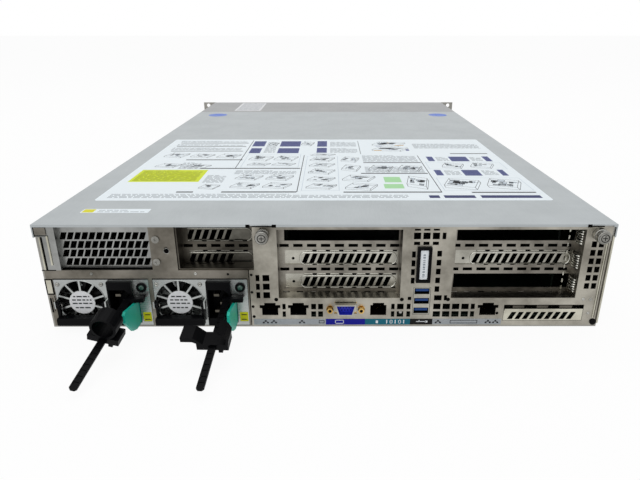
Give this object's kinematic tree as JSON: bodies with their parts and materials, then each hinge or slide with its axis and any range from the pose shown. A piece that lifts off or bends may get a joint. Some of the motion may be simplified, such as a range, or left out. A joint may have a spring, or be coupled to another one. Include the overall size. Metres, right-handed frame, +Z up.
{
  "type": "2u rack server",
  "caption": "Rack-mount server: sheet-metal chassis with sliding cover, recessed riser bays, port row, two pull-out power supplies with bail handles and cord ties, hot-swap drive carriers",
  "frame": {"origin": "middle of the underside of the chassis floor", "axes": "+X to the right as seen from the rear panel, +Y from the rear panel to the front, +Z up"},
  "size_m": [0.4826, 0.8005, 0.0873],
  "materials": {
    "steel": "zinc-plated sheet, satin",
    "cover_steel": "zinc-plated sheet, cool grey satin",
    "nickel": "bright nickel plate",
    "bright_steel": "polished",
    "zinc": "bright zinc plate",
    "supply_case": "plain sheet",
    "aluminium_fins": "machined",
    "drive_aluminium": "matt grey",
    "circuit_board": "green solder mask",
    "memory_board": "green solder mask",
    "black_plastic": "moulded, satin",
    "port_blue": "moulded blue insert in a bright shell",
    "teal_plastic": "moulded, satin",
    "button_plastic": "moulded, satin"
  },
  "bodies": {
    "chassis": {"air_duct": "black_plastic", "bay_blanks": "black_plastic", "chassis_tray": "steel", "cpu_heatsinks": "aluminium_fins", "drive_backplane": "circuit_board", "drive_cage": "steel", "fan_frames": "black_plastic", "front_cover": "cover_steel", "front_panel": "black_plastic", "io_module_filler": "nickel", "low_profile_riser_bracket": "steel", "memory_modules": "memory_board", "middle_riser_bracket": "steel", "motherboard": "circuit_board", "panel_screws": "bright_steel", "psu_cage": "steel", "rack_ears": "steel", "rear_panel": "steel", "right_riser_bracket": "steel", "riser_cards": "circuit_board", "rj45_jacks": "black_plastic", "slot_fillers": "nickel", "tag_holder": "black_plastic", "usb_ports": "black_plastic", "vent_panel": "steel", "vga_port": "port_blue"},
    "top_cover": {"top_cover": "cover_steel"},
    "riser_thumbscrew_left": {"riser_thumbscrew_left": "bright_steel"},
    "riser_thumbscrew_right": {"riser_thumbscrew_right": "bright_steel"},
    "fan_rotor_1": {"fan_rotor_1": "black_plastic"},
    "fan_rotor_2": {"fan_rotor_2": "black_plastic"},
    "fan_rotor_3": {"fan_rotor_3": "black_plastic"},
    "fan_rotor_4": {"fan_rotor_4": "black_plastic"},
    "psu1": {"psu1_case": "supply_case", "psu1_face": "zinc", "psu1_inlet": "black_plastic", "psu1_cord_tie": "black_plastic"},
    "psu1_handle": {"psu1_handle": "black_plastic"},
    "psu1_latch": {"psu1_latch": "teal_plastic"},
    "psu1_fan_rotor": {"psu1_fan_rotor": "black_plastic"},
    "psu1_cord_clip": {"psu1_cord_clip": "black_plastic"},
    "psu2": {"psu2_case": "supply_case", "psu2_face": "zinc", "psu2_inlet": "black_plastic", "psu2_cord_tie": "black_plastic"},
    "psu2_handle": {"psu2_handle": "black_plastic"},
    "psu2_latch": {"psu2_latch": "teal_plastic"},
    "psu2_fan_rotor": {"psu2_fan_rotor": "black_plastic"},
    "psu2_cord_clip": {"psu2_cord_clip": "black_plastic"},
    "drive_carrier_1": {"drive_carrier_1": "drive_aluminium"},
    "carrier_lever_1": {"carrier_lever_1": "black_plastic"},
    "drive_carrier_2": {"drive_carrier_2": "drive_aluminium"},
    "carrier_lever_2": {"carrier_lever_2": "black_plastic"},
    "drive_carrier_3": {"drive_carrier_3": "drive_aluminium"},
    "carrier_lever_3": {"carrier_lever_3": "black_plastic"},
    "drive_carrier_4": {"drive_carrier_4": "drive_aluminium"},
    "carrier_lever_4": {"carrier_lever_4": "black_plastic"},
    "power_button": {"power_button": "button_plastic"},
    "identify_button": {"identify_button": "button_plastic"}
  },
  "joints": [
    {"name": "top_cover_slide", "type": "slide", "parent": "chassis", "child": "top_cover", "axis": [0, -1, 0], "range_m": [0, 0.012]},
    {"name": "riser_thumbscrew_left_turn", "type": "hinge", "parent": "chassis", "child": "riser_thumbscrew_left", "pos_m": [-0.0465, -0.3537, 0.0794], "axis": [0, 1, 0], "continuous": true},
    {"name": "riser_thumbscrew_right_turn", "type": "hinge", "parent": "chassis", "child": "riser_thumbscrew_right", "pos_m": [0.2065, -0.3537, 0.0794], "axis": [0, 1, 0], "continuous": true},
    {"name": "fan_rotor_1_spin", "type": "hinge", "parent": "chassis", "child": "fan_rotor_1", "pos_m": [-0.156, 0.165, 0.0412], "axis": [0, 1, 0], "continuous": true},
    {"name": "fan_rotor_2_spin", "type": "hinge", "parent": "chassis", "child": "fan_rotor_2", "pos_m": [-0.052, 0.165, 0.0412], "axis": [0, 1, 0], "continuous": true},
    {"name": "fan_rotor_3_spin", "type": "hinge", "parent": "chassis", "child": "fan_rotor_3", "pos_m": [0.052, 0.165, 0.0412], "axis": [0, 1, 0], "continuous": true},
    {"name": "fan_rotor_4_spin", "type": "hinge", "parent": "chassis", "child": "fan_rotor_4", "pos_m": [0.156, 0.165, 0.0412], "axis": [0, 1, 0], "continuous": true},
    {"name": "psu1_slide", "type": "slide", "parent": "chassis", "child": "psu1", "axis": [0, -1, 0], "range_m": [0, 0.19]},
    {"name": "psu1_handle_swing", "type": "hinge", "parent": "psu1", "child": "psu1_handle", "pos_m": [-0.1915, -0.357, 0.0221], "axis": [-1, 0, 0], "range_deg": [0, 90]},
    {"name": "psu1_latch_press", "type": "hinge", "parent": "psu1", "child": "psu1_latch", "pos_m": [-0.1478, -0.3477, 0.0146], "axis": [0, 0, -1], "range_deg": [0, 5], "stiffness_Nm_per_rad": 0.3, "springref_deg": -8.59},
    {"name": "psu1_fan_spin", "type": "hinge", "parent": "psu1", "child": "psu1_fan_rotor", "pos_m": [-0.1915, -0.3457, 0.0219], "axis": [0, 1, 0], "continuous": true},
    {"name": "psu1_clip_slide", "type": "slide", "parent": "psu1", "child": "psu1_cord_clip", "axis": [0.0952, 0.9705, 0.2215], "range_m": [-0.03, 0.003]},
    {"name": "psu2_slide", "type": "slide", "parent": "chassis", "child": "psu2", "axis": [0, -1, 0], "range_m": [0, 0.19]},
    {"name": "psu2_handle_swing", "type": "hinge", "parent": "psu2", "child": "psu2_handle", "pos_m": [-0.1145, -0.357, 0.0221], "axis": [-1, 0, 0], "range_deg": [0, 90]},
    {"name": "psu2_latch_press", "type": "hinge", "parent": "psu2", "child": "psu2_latch", "pos_m": [-0.0708, -0.3477, 0.0146], "axis": [0, 0, -1], "range_deg": [0, 5], "stiffness_Nm_per_rad": 0.3, "springref_deg": -8.59},
    {"name": "psu2_fan_spin", "type": "hinge", "parent": "psu2", "child": "psu2_fan_rotor", "pos_m": [-0.1145, -0.3457, 0.0219], "axis": [0, 1, 0], "continuous": true},
    {"name": "psu2_clip_slide", "type": "slide", "parent": "psu2", "child": "psu2_cord_clip", "axis": [0.0374, 0.9744, 0.2215], "range_m": [-0.03, 0.009]},
    {"name": "drive_carrier_1_slide", "type": "slide", "parent": "chassis", "child": "drive_carrier_1", "axis": [0, 1, 0], "range_m": [0, 0.125]},
    {"name": "carrier_lever_1_swing", "type": "hinge", "parent": "drive_carrier_1", "child": "carrier_lever_1", "pos_m": [-0.07125, 0.348, 0.012], "axis": [-1, 0, 0], "range_deg": [0, 50]},
    {"name": "drive_carrier_2_slide", "type": "slide", "parent": "chassis", "child": "drive_carrier_2", "axis": [0, 1, 0], "range_m": [0, 0.125]},
    {"name": "carrier_lever_2_swing", "type": "hinge", "parent": "drive_carrier_2", "child": "carrier_lever_2", "pos_m": [-0.05475, 0.348, 0.012], "axis": [-1, 0, 0], "range_deg": [0, 50]},
    {"name": "drive_carrier_3_slide", "type": "slide", "parent": "chassis", "child": "drive_carrier_3", "axis": [0, 1, 0], "range_m": [0, 0.125]},
    {"name": "carrier_lever_3_swing", "type": "hinge", "parent": "drive_carrier_3", "child": "carrier_lever_3", "pos_m": [-0.03825, 0.348, 0.012], "axis": [-1, 0, 0], "range_deg": [0, 50]},
    {"name": "drive_carrier_4_slide", "type": "slide", "parent": "chassis", "child": "drive_carrier_4", "axis": [0, 1, 0], "range_m": [0, 0.125]},
    {"name": "carrier_lever_4_swing", "type": "hinge", "parent": "drive_carrier_4", "child": "carrier_lever_4", "pos_m": [-0.02175, 0.348, 0.012], "axis": [-1, 0, 0], "range_deg": [0, 50]},
    {"name": "power_button_press", "type": "slide", "parent": "chassis", "child": "power_button", "axis": [0, -1, 0], "range_m": [0, 0.0012], "stiffness_N_per_m": 300, "springref_m": -0.002},
    {"name": "identify_button_press", "type": "slide", "parent": "chassis", "child": "identify_button", "axis": [0, -1, 0], "range_m": [0, 0.0012], "stiffness_N_per_m": 300, "springref_m": -0.002}
  ]
}
